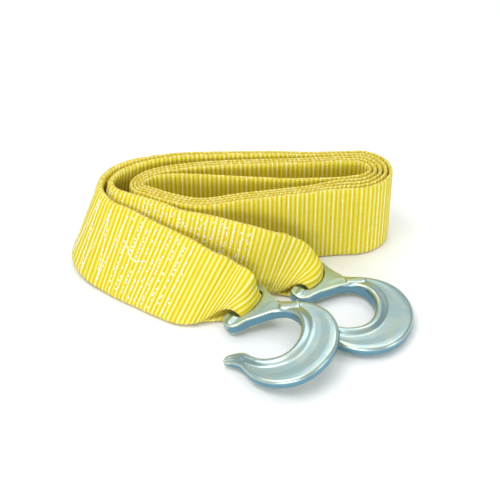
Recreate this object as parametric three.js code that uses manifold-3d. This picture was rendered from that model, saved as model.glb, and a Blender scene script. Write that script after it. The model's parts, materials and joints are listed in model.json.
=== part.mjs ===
// A two inch webbing tow strap, wound on edge into a long flat hank, with a forged steel
// slip hook in the loop at each end. Millimetres, +Z up, the hank's long side along X.
import * as THREE from "three";
import { mergeVertices } from "three/addons/utils/BufferGeometryUtils.js";
import Module from "manifold-3d";

// Webbing
const WIDTH = 50.8;            // two inches
const PLY = 1.85;              // thickness of one ply of webbing
const SEWN = 3.6;              // thickness of the two plies sewn together at an end
const PITCH = PLY + 0.3;       // ply to ply where the hank lies tight
const LOOSE = 1.45;            // how much wider the plies sit at the right-hand turn
const SLACK = 2.2;             // space inside the outermost pair along the back
const MOUTH = 20.6;            // width of the webbing bunched into a hook's eye

// Hook, in its own plane: u runs from the eye's bar towards the bowl, v towards the point
const BAR = 3.4;               // radius of the bar that the strap loops round
const LOOP_GAP = 0.35;         // between the bar and the webbing round it
const SLOT = 6.0;              // far side of the eye's slot, from the bar's axis
const SLOT_BACK = -10.9;
const SLOT_FRONT = 11.0;
const EYE = 3.4;               // half thickness of the eye
const FLANGE = 3.1;            // half thickness of the bowl's outer flange
const RIM = 5.0;               // half thickness of the raised rim round the throat
const RIM_TOP = 3.0;           // flat width of the rim
const RIM_FOOT = 7.5;          // where the fillet of the rim meets the flange
const PAD = [11, 3.7, 0.6];    // plain raised pad on the shank: length, width, height

// Where each hook lies: the middle of its bar, the heading of its u axis, its upper face
const NEAR = { pivot: [-1.9, -60.6, 7.8], heading: -53, up: [-0.22, -0.05, 0.974] };
const FAR = { pivot: [35.1, -36.7, 6.5], heading: -41, up: [0.015, -0.013, 1] };

const wasm = await Module();
wasm.setup();

const vec = (p) => new THREE.Vector3(p[0], p[1], p[2] ?? 0);
const smooth = (x, from, to) => THREE.MathUtils.smoothstep(x, from, to);

// A closed geometry as a solid, and a solid as a geometry
function solid(geometry) {
  const g = geometry.clone();
  g.deleteAttribute("normal");
  g.deleteAttribute("uv");
  const m = mergeVertices(g, 1e-4);
  return new wasm.Manifold(new wasm.Mesh({
    numProp: 3,
    vertProperties: new Float32Array(m.attributes.position.array),
    triVerts: new Uint32Array(m.index.array),
  }));
}

function geometryOf(body) {
  const m = body.getMesh();
  const g = new THREE.BufferGeometry();
  g.setAttribute("position", new THREE.BufferAttribute(new Float32Array(m.vertProperties), 3));
  g.setIndex(new THREE.BufferAttribute(new Uint32Array(m.triVerts), 1));
  return g;
}

// A closed skin over rings of points that all have the same count
function skin(rings) {
  const n = rings[0].length;
  const positions = rings.flat().flatMap((p) => [p.x, p.y, p.z]);
  const index = [];
  for (let i = 0; i + 1 < rings.length; i++) {
    for (let j = 0; j < n; j++) {
      const a = i * n + j;
      const b = i * n + ((j + 1) % n);
      index.push(a, b, a + n, b, b + n, a + n);
    }
  }
  const last = (rings.length - 1) * n;
  for (let j = 1; j + 1 < n; j++) {
    index.push(0, j + 1, j);
    index.push(last, last + j, last + j + 1);
  }
  const g = new THREE.BufferGeometry();
  g.setAttribute("position", new THREE.BufferAttribute(new Float32Array(positions), 3));
  g.setIndex(index);
  return g;
}

// The frame of a hook: columns u, minus v and the upper face's normal
function hookFrame(hook) {
  const lean = new THREE.Quaternion().setFromUnitVectors(vec([0, 0, 1]), vec(hook.up).normalize());
  const turn = new THREE.Quaternion().setFromAxisAngle(
    vec([0, 0, 1]), THREE.MathUtils.degToRad(hook.heading));
  return new THREE.Matrix4().compose(vec(hook.pivot), lean.multiply(turn), vec([1, 1, 1]));
}
const onHook = (hook, u, v, n = 0) => vec([u, -v, n]).applyMatrix4(hookFrame(hook));

// The hank. The inside of its innermost layer, seen from above, anticlockwise from the
// right-hand end, one point per step of q
const CORE = [
  [70.5, 16], [67, 21], [57, 22.3], [30, 20.4], [6, 19.4], [-24, 16.9], [-46, 11.4],
  [-58.5, 6], [-62.6, 0.5], [-57, -2.5], [-45, -8.5], [-29, -13], [-6, -8.2], [18, -3.8],
  [35, -0.5], [56, 8.3], [67, 11.5],
];
const LAP = CORE.length;
const core = new THREE.CatmullRomCurve3(CORE.map(vec), true, "centripetal");
const LAPS_END = 2 * LAP + 4;  // where the two ends leave the winding for the last turn

// The layer that the outer half of the strap lies in, after q steps from the bight
function layer(q) {
  let k = 0;
  for (const start of [0, LAP]) {
    k += smooth(q, start + 4.6, start + 6.4);
    k += smooth(q, start + 14, start + 15.5);
  }
  return k;
}

// One place on the winding: upper edge, lower edge and thickness
function wound(q, k) {
  const t = (((q % LAP) + LAP) % LAP);
  const at = core.getPoint(t / LAP);
  const ahead = core.getTangent(t / LAP);
  const loose = 1 + (LOOSE - 1) * (1 - smooth(t, 0, 2.6) + smooth(t, 14, 15));
  const slack = SLACK * smooth(q, 2 * LAP + 1.5, 2 * LAP + 3.5);
  const out = (k + 0.5) * PITCH * loose + slack;
  const x = at.x + ahead.y * out;
  const y = at.y - ahead.x * out;
  const lift = 1.2 * smooth(q, 2 * LAP + 2.5, 2 * LAP + 4);
  return { top: vec([x, y, WIDTH + lift]), foot: vec([x, y, lift]), thick: PLY };
}

function windings(from, to, k) {
  const list = [];
  for (let q = from; q <= to + 1e-6; q += 0.25) list.push(wound(q, k(q)));
  return list;
}

// A smooth run through stations of the form [top, foot, thickness]
function run(stations, perStep) {
  const curve = (i) => new THREE.CatmullRomCurve3(stations.map((s) => s[i]), false, "centripetal");
  const top = curve(0);
  const foot = curve(1);
  const steps = stations.length - 1;
  const list = [];
  for (let i = 0; i <= steps * perStep; i++) {
    const t = i / (steps * perStep);
    const at = Math.min(Math.floor(t * steps), steps - 1);
    const mix = t * steps - at;
    const thick = stations[at][2] * (1 - mix) + stations[at + 1][2] * mix;
    list.push({ top: top.getPoint(t), foot: foot.getPoint(t), thick });
  }
  return list;
}

// The bight's front leg crosses the hank's hollow to its left-hand turn
const CROSSING = [[44, 5.9], [24, 5.3], [6, 6.4], [-9, 7.6], [-24, 9.0], [-38, 9.9], [-47, 9.9]];

// The last big turn on the left, and the run down to each hook: [top, foot, thickness]
const OUTER = [
  [[-24, 30.2, 52.4], [-24, 30.3, 1.6], PLY],
  [[-43, 29.2, 52.4], [-43.3, 29.5, 1.6], PLY],
  [[-60.8, 26, 52], [-62.5, 27.2, 1.8], 2.6],
  [[-73, 22, 51.5], [-79, 24.5, 2.2], SEWN],
  [[-82.5, 15.5, 50.8], [-94, 17, 2.6], SEWN],
  [[-87.5, 7, 50], [-103.5, 4.5, 3], SEWN],
  [[-87.6, -1.5, 49], [-107, -8.5, 3], SEWN],
  [[-84.5, -7, 47.5], [-103.5, -21, 2.2], SEWN],
  [[-79, -12, 46], [-96.5, -31, 1.5], SEWN],
  [[-70.5, -16, 44.8], [-87.5, -38.5, 0.9], SEWN],
  [[-59, -23.2, 43.2], [-78.5, -45.5, 0.7], SEWN],
  [[-46.5, -30.8, 41.6], [-67, -53, 0.7], SEWN],
  [[-33.5, -38, 39.6], [-55, -61, 0.8], SEWN],
  [[-21, -45, 36], [-42, -68, 1], SEWN],
  [[-11, -48, 29], [-31.5, -68.5, 1.6], SEWN],
  [[-2.5, -46, 18], [-21, -62.5, 3], SEWN],
];
const INNER = [
  [[-24, 27.9, 52.4], [-24, 27.9, 1.6], PLY],
  [[-43, 26.5, 52.4], [-43.2, 26.7, 1.6], PLY],
  [[-59.4, 22.6, 52], [-60.9, 23.2, 1.8], 2.6],
  [[-70.5, 17.6, 51.5], [-75, 19.5, 2.2], SEWN],
  [[-78.3, 11.6, 51], [-86.5, 12.5, 2.6], SEWN],
  [[-81.8, 5.2, 50.5], [-93, 2.5, 3], SEWN],
  [[-80.6, -1, 50.2], [-93.5, -6.5, 3.2], SEWN],
  [[-76.5, -5, 50.2], [-90, -13, 3.2], SEWN],
  [[-71, -8, 50.3], [-84.5, -17, 3], SEWN],
  [[-64.5, -11, 50.5], [-77.5, -20.5, 2.8], SEWN],
  [[-55.5, -15.3, 50.4], [-68, -26, 2.5], SEWN],
  [[-47.5, -19.4, 50.3], [-59.5, -31, 2], SEWN],
  [[-40, -23.8, 50], [-51, -35.5, 1.6], SEWN],
  [[-29, -26.5, 49.6], [-40, -38.5, 1.4], SEWN],
  [[-18, -29.5, 49], [-28.5, -41.5, 1.3], SEWN],
  [[-8, -32, 47.6], [-18, -43.5, 1.3], SEWN],
  [[3, -33, 45], [-6.5, -43, 1.6], SEWN],
  [[14, -32, 40], [4, -43, 2], SEWN],
  [[23.5, -28, 31], [11, -41.5, 2.6], SEWN],
  [[30.5, -22.5, 18], [15.5, -38, 3.8], SEWN],
];

// The webbing at its hook: bunched to the width of the eye, flat behind the bar
const MEET = -9;
const atHook = (hook) => [
  onHook(hook, MEET, -MOUTH / 2),
  onHook(hook, MEET, MOUTH / 2),
  SEWN - 0.2,
];
const joined = (s) => [vec(s[0]), vec(s[1]), s[2]];

function tail(k, stations, hook) {
  const before = [LAPS_END - 0.5, LAPS_END].map((q) => {
    const s = wound(q, k);
    return [s.top, s.foot, s.thick];
  });
  const all = [...before, ...stations.map(joined), atHook(hook)];
  return run(all, 4).slice(5);
}

const outerHalf = [...windings(0.25, LAPS_END, layer), ...tail(4, OUTER, NEAR)];
const innerHalf = [
  ...windings(6.75, LAPS_END, (q) => layer(q) - 1),
  ...tail(3, INNER, FAR),
];
const bight = windings(-2, 0, () => 0);
const entry = wound(-2, 0);
const exit = wound(6.75, 0);
const upright = ([x, y]) => [vec([x, y, WIDTH]), vec([x, y, 0]), PLY];
const crossing = run([
  [entry.top, entry.foot, PLY], ...CROSSING.map(upright), [exit.top, exit.foot, PLY],
], 3).slice(1, -1);

// From the near hook back to the bight, and out again to the far hook
const route = [...outerHalf.reverse(), ...bight.reverse(), ...crossing, ...innerHalf];

function webbing(stations) {
  const middle = stations.map((s) => s.top.clone().add(s.foot).multiplyScalar(0.5));
  return skin(stations.map((s, i) => {
    const from = middle[Math.max(i - 1, 0)];
    const to = middle[Math.min(i + 1, stations.length - 1)];
    const along = to.clone().sub(from);
    const across = s.foot.clone().sub(s.top);
    const half = along.cross(across).normalize().multiplyScalar(s.thick / 2);
    return [
      s.top.clone().add(half), s.top.clone().sub(half),
      s.foot.clone().sub(half), s.foot.clone().add(half),
    ];
  }));
}

// The loop of webbing round a hook's bar, closing into the sewn end behind it
function loop(hook) {
  const inner = BAR + LOOP_GAP;
  const outer = inner + PLY;
  const shape = new THREE.Shape();
  const back = MEET - 2;
  const side = SEWN / 2;
  const open = Math.PI * 0.68;
  shape.moveTo(back, -side);
  shape.lineTo(MEET, -side);
  shape.lineTo(outer * Math.cos(open), -outer * Math.sin(open));
  shape.absarc(0, 0, outer, -open, open, false);
  shape.lineTo(MEET, side);
  shape.lineTo(back, side);
  shape.closePath();
  const hole = new THREE.Path();
  hole.absarc(0, 0, inner, 0, 2 * Math.PI, true);
  shape.holes.push(hole);
  const wide = MOUTH + 0.4;
  const g = new THREE.ExtrudeGeometry(shape, { depth: wide, bevelEnabled: false, curveSegments: 12 });
  g.rotateX(Math.PI / 2);
  g.translate(0, wide / 2, 0);
  g.applyMatrix4(hookFrame(hook));
  return g;
}

// The hook's body, station by station from the neck to the point: [inner edge, outer edge]
const BOWL = [
  [[12.5, 5], [11, -13.5]],
  [[16, -2], [14.5, -15.3]],
  [[19.5, -7], [18.5, -18.3]],
  [[22.8, -10.3], [23, -22]],
  [[26.5, -12.2], [29, -25.6]],
  [[31, -12.7], [36, -27.8]],
  [[36, -11.6], [44, -28]],
  [[41, -8.7], [52.5, -25.3]],
  [[45, -4.5], [60, -20.3]],
  [[48, 1], [66.3, -12.8]],
  [[49.3, 6.5], [70.3, -3]],
  [[48.8, 11.8], [71.4, 7]],
  [[46.5, 16.5], [69, 17]],
  [[43, 20.2], [63, 25]],
  [[39.3, 22.4], [56, 29.8]],
  [[35.5, 23.3], [48.5, 32.2]],
  [[32, 24.1], [41.5, 32.2]],
  [[29, 26], [36, 31.9]],
  [[26.3, 28.7], [31.5, 33.2]],
  [[24.4, 31.6], [28, 35.4]],
  [[24, 33.8], [25.6, 36.2]],
];
const POINT = BOWL.length - 1;
const PER_STATION = 2;

function body() {
  const edge = (i) => new THREE.CatmullRomCurve3(BOWL.map((s) => vec(s[i])), false, "centripetal");
  const throat = edge(0);
  const rim = edge(1);
  const rings = [];
  for (let i = 0; i <= POINT * PER_STATION; i++) {
    const t = i / (POINT * PER_STATION);
    const a = throat.getPoint(t);
    const b = rim.getPoint(t);
    const reach = a.distanceTo(b);
    const fine = Math.min(1, reach / 12);          // everything shrinks towards the point
    const blunt = 1 - 0.45 * smooth(t, 0.78, 1);   // and the point is thinner
    const rise = smooth(t, 0.1, 0.3) * fine;       // the rim grows out of the flat shank
    const low = FLANGE * blunt;
    const high = low + (RIM - FLANGE) * rise;
    const half = [
      [0, high - 2.6 * fine * blunt],
      [0.9 * fine, high - 0.5],
      [1.8 * fine, high],
      [RIM_TOP * fine + 0.6, high],
      [(RIM_TOP + 1.6) * fine + 0.6, high * 0.7 + low * 0.3],
      [RIM_FOOT * fine, low],
      [reach - 2 * fine, low],
      [reach - 0.5 * fine, low - 0.9 * blunt],
      [reach, low - 2.2 * blunt],
    ];
    const section = [...half.map(([d, h]) => [d, -h]), ...half.reverse()];
    rings.push(section.map(([d, h]) => {
      const p = a.clone().lerp(b, d / reach);
      return vec([p.x, -p.y, h]);
    }));
  }
  return solid(skin(rings));
}

// The eye: a three-sided plate with a slot, closed by the round bar
const EYE_EDGE = 0.8;          // chamfer round the plate
const BAR_ENDS = [-14.7, 16.5];

function eye() {
  const shape = new THREE.Shape();
  shape.moveTo(0, 15.2);
  shape.lineTo(5.5, 14.2);
  shape.quadraticCurveTo(9, 13, 12.5, 14.4);
  shape.lineTo(19, 8);
  shape.lineTo(13.6, -4.2);
  shape.quadraticCurveTo(11.6, -8, 11.4, -11);
  shape.quadraticCurveTo(10.8, -18.2, 5, -18.4);
  shape.quadraticCurveTo(1, -18.2, -1, -16.6);
  shape.closePath();
  const plate = new THREE.ExtrudeGeometry(shape, {
    depth: 2 * (EYE - EYE_EDGE),
    bevelThickness: EYE_EDGE,
    bevelSize: EYE_EDGE,
    bevelOffset: -EYE_EDGE,
    bevelSegments: 1,
    curveSegments: 5,
  });
  plate.translate(0, 0, EYE_EDGE - EYE);
  const near = -SLOT;          // the slot's cutter reaches past the bar
  const slot = new THREE.BoxGeometry(SLOT - near, SLOT_FRONT - SLOT_BACK, 4 * EYE);
  slot.translate((SLOT + near) / 2, -(SLOT_FRONT + SLOT_BACK) / 2, 0);
  const length = BAR_ENDS[1] - BAR_ENDS[0];
  const bar = new THREE.CapsuleGeometry(BAR, length - 2 * BAR, 4, 16);
  bar.translate(0, -(BAR_ENDS[0] + BAR_ENDS[1]) / 2, 0);
  return solid(plate).subtract(solid(slot)).add(solid(bar));
}

const PAD_AT = [22.3, -15.4];
const PAD_TURN = Math.atan2(0.75, 0.66);

function pad() {
  const [length, width, height] = PAD;
  const sunk = 1;
  const g = new THREE.BoxGeometry(length, width, height + sunk);
  g.rotateZ(PAD_TURN);
  g.translate(PAD_AT[0], -PAD_AT[1], FLANGE + (height - sunk) / 2);
  return solid(g);
}

const steel = new THREE.MeshStandardMaterial({ color: 0xa3b1ad, roughness: 0.28, metalness: 0.9 });
const yellow = new THREE.MeshStandardMaterial({ color: 0xdcc91c, roughness: 0.85, metalness: 0 });

const hookGeometry = geometryOf(body().add(eye()).add(pad()));

function hook(name, place) {
  const mesh = new THREE.Mesh(hookGeometry, steel);
  mesh.name = name;
  const frame = hookFrame(place);
  mesh.quaternion.setFromRotationMatrix(frame);
  mesh.position.setFromMatrixPosition(frame);
  return mesh;
}

const cloth = solid(webbing(route)).add(solid(loop(NEAR))).add(solid(loop(FAR)));
const strap = new THREE.Mesh(geometryOf(cloth), yellow);
strap.name = "strap";

const towStrap = new THREE.Group();
towStrap.add(strap, hook("hook_near", NEAR), hook("hook_far", FAR));

// The origin is the middle of the footprint, on the floor
towStrap.updateMatrixWorld(true);
const box = new THREE.Box3().setFromObject(towStrap, true);
const centre = box.getCenter(new THREE.Vector3());
towStrap.position.set(-centre.x, -centre.y, -box.min.z);
towStrap.updateMatrixWorld(true);

export default towStrap;
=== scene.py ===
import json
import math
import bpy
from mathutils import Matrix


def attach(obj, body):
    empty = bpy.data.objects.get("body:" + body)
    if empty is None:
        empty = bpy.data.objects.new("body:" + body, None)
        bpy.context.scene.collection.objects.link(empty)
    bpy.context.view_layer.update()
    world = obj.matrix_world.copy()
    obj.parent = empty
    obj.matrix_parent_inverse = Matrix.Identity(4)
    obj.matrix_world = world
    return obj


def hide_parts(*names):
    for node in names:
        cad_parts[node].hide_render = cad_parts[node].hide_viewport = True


bl_info = {
    "name": "Tow strap",
    "version": (1, 0, 0),
    "blender": (4, 5, 0),
    "location": "3D View > Sidebar > Tow strap",
    "description": "Dresses the wound webbing tow strap and its two forged slip hooks",
    "category": "Object",
}

import bpy
import numpy as np
from mathutils import Matrix, Vector

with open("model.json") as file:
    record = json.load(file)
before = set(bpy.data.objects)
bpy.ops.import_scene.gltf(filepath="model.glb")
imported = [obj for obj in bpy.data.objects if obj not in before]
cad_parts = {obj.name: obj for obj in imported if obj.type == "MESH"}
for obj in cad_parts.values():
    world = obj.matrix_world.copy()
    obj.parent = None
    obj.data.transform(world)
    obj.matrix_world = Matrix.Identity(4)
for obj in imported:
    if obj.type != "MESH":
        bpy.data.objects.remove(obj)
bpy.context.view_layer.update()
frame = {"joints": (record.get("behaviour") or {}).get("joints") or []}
MM = 0.001

# Millimetres, in the frame that the part's source lays the strap out in
WIDTH = 50.8
PLY = 1.85
SEWN = 3.6                     # two plies of a doubled end, pressed by the stitches
PITCH = PLY + 0.3
LOOSE = 1.45                   # how much wider the layers lie at the right-hand turn
SLACK = 2.2
MOUTH = 20.6                   # width of the bunched webbing where it enters an eye
NEAR = {
    "pivot": (-2.8, -59.4, 7.7), "heading": -38, "up": (-0.22, -0.05, 0.974), "body": "hook_near",
}
FAR = {"pivot": (34, -35.7, 6.5), "heading": -26, "up": (0.015, -0.013, 1), "body": "hook_far"}

# From that frame to the row frame, read from the near hook's hinge, whose own middle lies
# a little behind the middle of the askew bar
HINGE_AT = (-1.9, -60.6, 7.8)
HINGE = next(j for j in frame["joints"] if j["child"] == NEAR["body"])["pos_m"]
SHIFT = np.array(HINGE) / MM - np.array(HINGE_AT)


def smooth(x, low, high):
    """0 below low, 1 above high and smooth between."""
    t = np.clip((np.asarray(x, float) - low) / (high - low), 0, 1)
    return t * t * (3 - 2 * t)


def spline(points, t, closed=False):
    """A centripetal curve through points, at each t from 0 to 1."""
    p = np.asarray(points, float)
    n = len(p)
    t = np.atleast_1d(np.asarray(t, float))
    if closed:
        q = (t % 1.0) * n
        i = np.floor(q).astype(int)
        p0, p1, p2, p3 = (p[(i + k) % n] for k in (-1, 0, 1, 2))
    else:
        ends = np.vstack([2 * p[0] - p[1], p, 2 * p[-1] - p[-2]])
        q = np.clip(t, 0, 1) * (n - 1)
        i = np.minimum(np.floor(q).astype(int), n - 2)
        p0, p1, p2, p3 = (ends[i + k] for k in (0, 1, 2, 3))
    w = (q - i)[:, None]
    d0, d1, d2 = (
        np.maximum(np.linalg.norm(b - a, axis=-1) ** 0.5, 1e-4)[:, None]
        for a, b in ((p0, p1), (p1, p2), (p2, p3))
    )
    m1 = ((p1 - p0) / d0 - (p2 - p0) / (d0 + d1) + (p2 - p1) / d1) * d1
    m2 = ((p2 - p1) / d1 - (p3 - p1) / (d1 + d2) + (p3 - p2) / d2) * d1
    bend = 3 * (p2 - p1) - 2 * m1 - m2
    twist = 2 * (p1 - p2) + m1 + m2
    return p1 + m1 * w + bend * w**2 + twist * w**3


def hook_matrix(hook):
    """The hook's own frame: x towards the bowl, y away from the point, z its upper face."""
    lean = Vector((0, 0, 1)).rotation_difference(Vector(hook["up"]))
    turn = Matrix.Rotation(math.radians(hook["heading"]), 4, "Z")
    return Matrix.Translation(hook["pivot"]) @ lean.to_matrix().to_4x4() @ turn


def on_hook(hook, points):
    """Points (u, v, n) of a hook, in the layout frame."""
    p = np.asarray(points, float)
    m = np.array(hook_matrix(hook))
    return (p * (1, -1, 1)) @ m[:3, :3].T + m[:3, 3]


# The hank: the inside of its innermost layer from above, anticlockwise
CORE = [
    (70.5, 16), (67, 21), (57, 22.3), (30, 20.4), (6, 19.4), (-24, 16.9), (-46, 11.4),
    (-58.5, 6), (-62.6, 0.5), (-57, -2.5), (-45, -8.5), (-29, -13), (-6, -8.2), (18, -3.8),
    (35, -0.5), (56, 8.3), (67, 11.5),
]
LAP = len(CORE)
LAPS_END = 2 * LAP + 4
CROSSING = [(44, 5.9), (24, 5.3), (6, 6.4), (-9, 7.6), (-24, 9.0), (-38, 9.9), (-47, 9.9)]

# The last big turn on the left and the run to each hook: top, foot, thickness
OUTER = [
    (-24, 30.2, 52.4, -24, 30.3, 1.6, PLY),
    (-43, 29.2, 52.4, -43.3, 29.5, 1.6, PLY),
    (-60.8, 26, 52, -62.5, 27.2, 1.8, 2.6),
    (-73, 22, 51.5, -79, 24.5, 2.2, SEWN),
    (-82.5, 15.5, 50.8, -94, 17, 2.6, SEWN),
    (-87.5, 7, 50, -103.5, 4.5, 3, SEWN),
    (-87.6, -1.5, 49, -107, -8.5, 3, SEWN),
    (-84.5, -7, 47.5, -103.5, -21, 2.2, SEWN),
    (-79, -12, 46, -96.5, -31, 1.5, SEWN),
    (-70.5, -16, 44.8, -87.5, -38.5, 0.9, SEWN),
    (-59, -23.2, 43.2, -78.5, -45.5, 0.7, SEWN),
    (-46.5, -30.8, 41.6, -67, -53, 0.7, SEWN),
    (-33.5, -38, 39.6, -55, -61, 0.8, SEWN),
    (-21, -45, 36, -42, -68, 1, SEWN),
    (-12, -47.5, 33.2, -32.5, -68.5, 1.5, SEWN),
    (-5.5, -46.5, 20, -24, -65.5, 2.4, SEWN),
]
INNER = [
    (-24, 27.9, 52.4, -24, 27.9, 1.6, PLY),
    (-43, 26.5, 52.4, -43.2, 26.7, 1.6, PLY),
    (-59.4, 22.6, 52, -60.9, 23.2, 1.8, 2.6),
    (-70.5, 17.6, 51.5, -75, 19.5, 2.2, SEWN),
    (-78.3, 11.6, 51, -86.5, 12.5, 2.6, SEWN),
    (-81.8, 5.2, 50.5, -93, 2.5, 3, SEWN),
    (-80.6, -1, 50.2, -93.5, -6.5, 3.2, SEWN),
    (-76.5, -5, 50.2, -90, -13, 3.2, SEWN),
    (-71, -8, 50.3, -84.5, -17, 3, SEWN),
    (-64.5, -11, 50.5, -77.5, -20.5, 2.8, SEWN),
    (-55.5, -15.3, 50.4, -68, -26, 2.5, SEWN),
    (-47.5, -19.4, 50.3, -59.5, -31, 2, SEWN),
    (-40, -23.8, 50, -51, -35.5, 1.6, SEWN),
    (-29, -26.5, 49.6, -40, -38.5, 1.4, SEWN),
    (-18, -29.5, 49, -28.5, -41.5, 1.3, SEWN),
    (-8, -32, 47.6, -18, -43.5, 1.3, SEWN),
    (3, -33, 45, -6.5, -43, 1.6, SEWN),
    (14, -32, 40, 4, -43, 2, SEWN),
    (22.5, -28.5, 35, 10.5, -41.5, 2.6, SEWN),
    (28, -24.5, 18.5, 16, -39.5, 3.4, SEWN),
]
FINE = 48                      # rows per station while the route is laid out
MEET = -9                      # where the run is aimed, behind the bar
END_ROWS = 60                  # rows of the run that tell how each loop starts
LEAD = 14                      # rows from the end at which a loop's ply starts
LOOP_FINE = 900
RIB_STEPS = 5                  # rows of the mesh for each rib


def layer(q):
    """Layers under the strand q steps along: two more for each lap, as two strands are wound."""
    k = 0
    for start in (0, LAP):
        k = k + smooth(q, start + 4.6, start + 6.4) + smooth(q, start + 14, start + 15.5)
    return k


def wound(q, k):
    """Rows (top, foot, thickness) on the winding after q steps, in layer k."""
    q = np.atleast_1d(np.asarray(q, float))
    t = q % LAP
    at = spline(CORE, t / LAP, True)
    ahead = spline(CORE, t / LAP + 1e-4, True) - spline(CORE, t / LAP - 1e-4, True)
    ahead /= np.linalg.norm(ahead, axis=1)[:, None]
    loose = 1 + (LOOSE - 1) * (1 - smooth(t, 0, 2.6) + smooth(t, 14, 15))
    slack = SLACK * smooth(q, 2 * LAP + 1.5, 2 * LAP + 3.5)
    out = (k + 0.5) * PITCH * loose + slack
    x = at[:, 0] + ahead[:, 1] * out
    y = at[:, 1] - ahead[:, 0] * out
    lift = 1.2 * smooth(q, 2 * LAP + 2.5, 2 * LAP + 4)
    return np.column_stack([x, y, WIDTH + lift, x, y, lift, np.full(len(q), PLY)])


def run(stations, fine):
    """Rows through the stations, fine of them for each step."""
    s = np.asarray(stations, float)
    steps = len(s) - 1
    t = np.linspace(0, 1, steps * fine + 1)
    thick = np.interp(t * steps, np.arange(steps + 1), s[:, 6])
    return np.column_stack([spline(s[:, :3], t), spline(s[:, 3:6], t), thick])


def tail(k, stations, hook):
    """The last turn of a strand and its run towards the eye, to where the plies part."""
    before = wound([LAPS_END - 0.5, LAPS_END], k)
    mouth = on_hook(hook, [(MEET, -MOUTH / 2, 0), (MEET, MOUTH / 2, 0)]).ravel()
    rows = run(np.vstack([before, stations, [*mouth, SEWN - 0.2]]), FINE)
    split = len(stations) * FINE      # the plies part at the last station but one
    return rows[FINE + 1:split + 1]


def route():
    """Rows from where the plies part at the near hook to where they part at the far one."""
    step = np.arange(0, LAPS_END + 1e-9, 1 / FINE)
    q = step[step >= 0.25]
    outer = np.vstack([wound(q, layer(q)), tail(4, OUTER, NEAR)])
    q = step[step >= 6.75]
    inner = np.vstack([wound(q, layer(q) - 1), tail(3, INNER, FAR)])
    bight = wound(np.arange(-2, 0.01, 1 / FINE), 0)
    ends = wound([-2, 6.75], 0)
    upright = [(x, y, WIDTH, x, y, 0, PLY) for x, y in CROSSING]
    crossing = run(np.vstack([ends[:1], upright, ends[1:]]), FINE)[1:-1]
    rows = np.vstack([outer[::-1], bight[::-1], crossing, inner])
    rows[:, :6] += np.tile(SHIFT, 2)
    return rows


def lengths(points):
    """Distance along a line of points, at each of them."""
    steps = np.linalg.norm(np.diff(points, axis=0), axis=1)
    return np.concatenate([[0], np.cumsum(steps)])


COLUMNS = np.linspace(0, 1, 5)


def columns(rows):
    """Five points across the webbing for each row, from the top edge to the foot."""
    top, foot = rows[:, None, :3], rows[:, None, 3:6]
    return top + (foot - top) * COLUMNS[None, :, None]


def resample(cols, thick, spacing):
    """Rows an even distance apart along the middle of the webbing."""
    s = lengths(cols[:, 2])
    at = np.arange(round(s[-1] / spacing) + 1) * spacing
    at = at[at <= s[-1]]
    flat = cols.reshape(len(cols), -1)
    even = np.column_stack([np.interp(at, s, flat[:, i]) for i in range(flat.shape[1])])
    return even.reshape(len(at), *cols.shape[1:]), np.interp(at, s, thick), at


def across(cols, places):
    """Points of the middle surface at each place across the width, 0 top to 1 foot."""
    first, last = 2 * cols[:, :1] - cols[:, 1:2], 2 * cols[:, -1:] - cols[:, -2:-1]
    ends = np.concatenate([first, cols, last], 1)
    q = np.clip(places, 0, 1) * (cols.shape[1] - 1)
    i = np.minimum(np.floor(q).astype(int), cols.shape[1] - 2)
    w = (q - i)[None, :, None]
    p0, p1, p2, p3 = (ends[:, i + k] for k in (0, 1, 2, 3))
    bend = 2 * p0 - 5 * p1 + 4 * p2 - p3
    twist = 3 * p1 - p0 - 3 * p2 + p3
    return 0.5 * (2 * p1 + (p2 - p0) * w + bend * w**2 + twist * w**3)


def unit(v):
    return v / np.maximum(np.linalg.norm(v, axis=-1, keepdims=True), 1e-9)


class Strip:
    """A length of webbing: its middle surface, its normals and its distance along."""

    def __init__(self, cols, thick, along):
        self.cols, self.thick, self.along = cols, thick, along

    def surface(self, places):
        points = across(self.cols, places)
        ahead = unit(np.gradient(points, axis=0))
        side = unit(across(self.cols, places + 0.01) - across(self.cols, places - 0.01))
        return points, unit(np.cross(ahead, side)), ahead, side

    def at(self, s, place, face):
        """Points on one face (1 or -1) at distances s and places across, with out and ahead."""
        s, place = np.atleast_1d(s), np.atleast_1d(place)
        found = []
        order = np.argsort(self.along)
        for a, w in zip(s, place):
            i = order[min(np.searchsorted(self.along[order], a), len(order) - 1)]
            i = min(max(i, 1), len(self.cols) - 2)
            near = slice(i - 1, i + 2)
            piece = Strip(self.cols[near], self.thick[near], self.along[near])
            p, normal, ahead, side = piece.surface(np.array([w]))
            f = (a - self.along[i]) / (self.along[i + 1] - self.along[i])
            middle = p[1, 0] + (p[2, 0] - p[1, 0]) * f
            out = normal[1, 0] * face
            found.append((middle + out * self.thick[i] / 2, out, ahead[1, 0], side[1, 0]))
        return [np.array(x) for x in zip(*found)]


# Places of the mesh's points across the width, 0 top to 1 foot
FACE_PLACES = np.array([0.012, 0.05, 0.25, 0.5, 0.75, 0.95, 0.988])
LOOP_PLACES = np.array([
    0.015, 0.06, 0.14, 0.23, 0.32, 0.41, 0.5, 0.59, 0.68, 0.77, 0.86, 0.94, 0.985,
])
HEM = 0.02                     # how near an edge counts as its hem
HEM_THICK = 0.7
HEM_RIB = 0.45
EDGE_RIB = 0.5


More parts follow.
